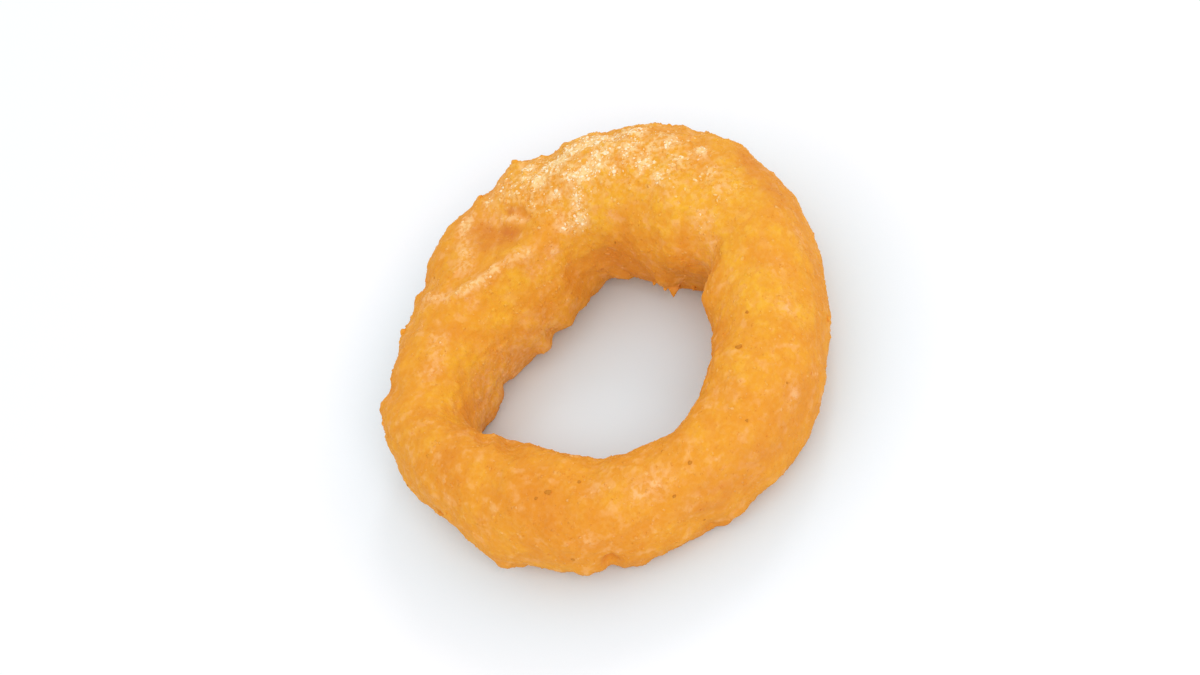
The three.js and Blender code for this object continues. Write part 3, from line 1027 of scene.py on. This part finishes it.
def turned(right, up, back, place):
    """The matrix of a thing at a place, with its own axes along these directions."""
    return Matrix.Translation(place) @ Matrix((right, up, back)).transposed().to_4x4()


def make_camera(scene, settings):
    """The camera, aimed at the middle of the ring."""
    right, up, back = view_axes()
    low, high = (Vector(corner) for corner in CAD_BOX)
    middle = (low + high) / 2
    camera = new_object("camera", bpy.data.cameras.new("camera"))
    camera.data.lens = settings.lens
    camera.matrix_world = turned(right, up, back, middle + back * VIEW_DISTANCE)
    scene.camera = camera


def make_lamp(name, toward, away, width, power):
    """A round light of a width, seen from the ring in a direction and at a distance."""
    lamp = bpy.data.lights.new(name, "AREA")
    lamp.shape = "DISK"
    lamp.size = width
    lamp.energy = power
    toward = toward.normalized()
    side = toward.cross(Vector((0, 0, 1))).normalized()
    new_object(name, lamp).matrix_world = turned(side, toward.cross(side), toward, toward * away)


def make_light(scene, settings):
    """A soft light beside the camera, a small one behind the ring for the glints, and white all round."""
    right, up, back = view_axes()
    make_lamp("key", toward=right * 0.15 + back, away=0.8, width=0.4, power=settings.key_power)
    make_lamp("glints", toward=up * 0.97 + back * 0.2, away=0.7, width=0.16, power=settings.glint_power)
    world = bpy.data.worlds.new("white room")
    world.use_nodes = True
    background = world.node_tree.nodes["Background"]
    background.inputs["Color"].default_value = (1, 1, 1, 1)
    background.inputs["Strength"].default_value = settings.sky
    scene.world = world


# ---------------------------------------------------------------- operators


class ONION_RING_OT_crust(bpy.types.Operator):
    """Makes the ring's battered crust in place of the plain solid"""

    bl_idname = "onion_ring.crust"
    bl_label = "Make crust"

    def execute(self, context):
        settings = context.scene.onion_ring_crust
        crust = smooth_ring(settings.grid)
        store_patches(crust.data)
        refine(crust.data)
        names = (
            "Swell height", "Swell size", "Lump height", "Lump size",
            "Grain height", "Grain size", "Cluster size",
        )
        values = {name: getattr(settings, name.lower().replace(" ", "_")) for name in names}
        values["Material"] = batter_material(settings)
        run_tree(crust, relief_tree(values), values)
        add_piece(crust)
        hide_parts(RING_NODE)
        return {"FINISHED"}


class ONION_RING_OT_grains(bpy.types.Operator):
    """Makes the grains of batter that roughen the whole crust"""

    bl_idname = "onion_ring.grains"
    bl_label = "Make batter grains"

    def execute(self, context):
        settings = context.scene.onion_ring_crumbs
        share, width = settings.grain_share, settings.grain_width
        material = grain_material(context.scene.onion_ring_crust)
        scatter("batter_grains", share, width, material, depth=0.22, roundness=1, seed=5)
        return {"FINISHED"}


class ONION_RING_OT_crumbs(bpy.types.Operator):
    """Makes the fine and the coarse crumbs, and those that stand out by themselves"""

    bl_idname = "onion_ring.crumbs"
    bl_label = "Make crumbs"

    def execute(self, context):
        settings = context.scene.onion_ring_crumbs
        material = crumb_material(context.scene.onion_ring_crust)
        share, width = settings.fine_share, settings.fine_width
        where = {"plain": 0.004, "crumbly_from": 0.1, "gathering": 0.9}
        scatter("fine_crumbs", share, width, material, depth=0.14, roundness=1, seed=11, **where)
        share, width = settings.coarse_share, settings.coarse_width
        where = {"plain": 0.0, "crumbly_from": 0.4, "gathering": 0.6}
        scatter("coarse_crumbs", share, width, material, depth=0.28, roundness=2, seed=29, **where)
        batter = bpy.data.materials["Fried batter grains"]
        add_piece(placed_crumbs("lone_crumbs", LONE_CRUMBS, batter))
        return {"FINISHED"}


class ONION_RING_OT_specks(bpy.types.Operator):
    """Makes the dark specks, those with a place of their own and those scattered over the crust"""

    bl_idname = "onion_ring.specks"
    bl_label = "Make specks"

    def execute(self, context):
        settings = context.scene.onion_ring_crumbs
        material = speck_material(settings)
        share, width = settings.speck_share, settings.speck_width
        scatter("scattered_specks", share, width, material, depth=0.1, roundness=2, seed=53)
        add_piece(placed_crumbs("dark_specks", SPECKS, material))
        return {"FINISHED"}


class ONION_RING_OT_stage(bpy.types.Operator):
    """Makes the table, the light and the camera"""

    bl_idname = "onion_ring.stage"
    bl_label = "Make stage"

    def execute(self, context):
        settings = context.scene.onion_ring_stage
        make_table(settings)
        make_camera(context.scene, settings)
        make_light(context.scene, settings)
        context.scene.view_settings.view_transform = "Standard"
        return {"FINISHED"}


class ONION_RING_PT_panel(bpy.types.Panel):
    """The sidebar's list of pieces"""

    bl_label = "Onion Ring"
    bl_space_type = "VIEW_3D"
    bl_region_type = "UI"
    bl_category = "Onion Ring"

    def draw(self, context):
        for operator in OPERATORS:
            self.layout.operator(operator.bl_idname)


SETTINGS = {
    "onion_ring_crust": CrustSettings,
    "onion_ring_crumbs": CrumbSettings,
    "onion_ring_stage": StageSettings,
}
OPERATORS = (
    ONION_RING_OT_crust,
    ONION_RING_OT_grains,
    ONION_RING_OT_crumbs,
    ONION_RING_OT_specks,
    ONION_RING_OT_stage,
)
CLASSES = (*SETTINGS.values(), *OPERATORS, ONION_RING_PT_panel)


def register():
    for cls in CLASSES:
        bpy.utils.register_class(cls)
    for name, group in SETTINGS.items():
        setattr(bpy.types.Scene, name, bpy.props.PointerProperty(type=group))


def unregister():
    for name in SETTINGS:
        delattr(bpy.types.Scene, name)
    for cls in reversed(CLASSES):
        bpy.utils.unregister_class(cls)


def main():
    """Makes every piece."""
    register()
    bpy.ops.onion_ring.crust()
    bpy.ops.onion_ring.grains()
    bpy.ops.onion_ring.crumbs()
    bpy.ops.onion_ring.specks()
    bpy.ops.onion_ring.stage()


if __name__ == "__main__":
    main()
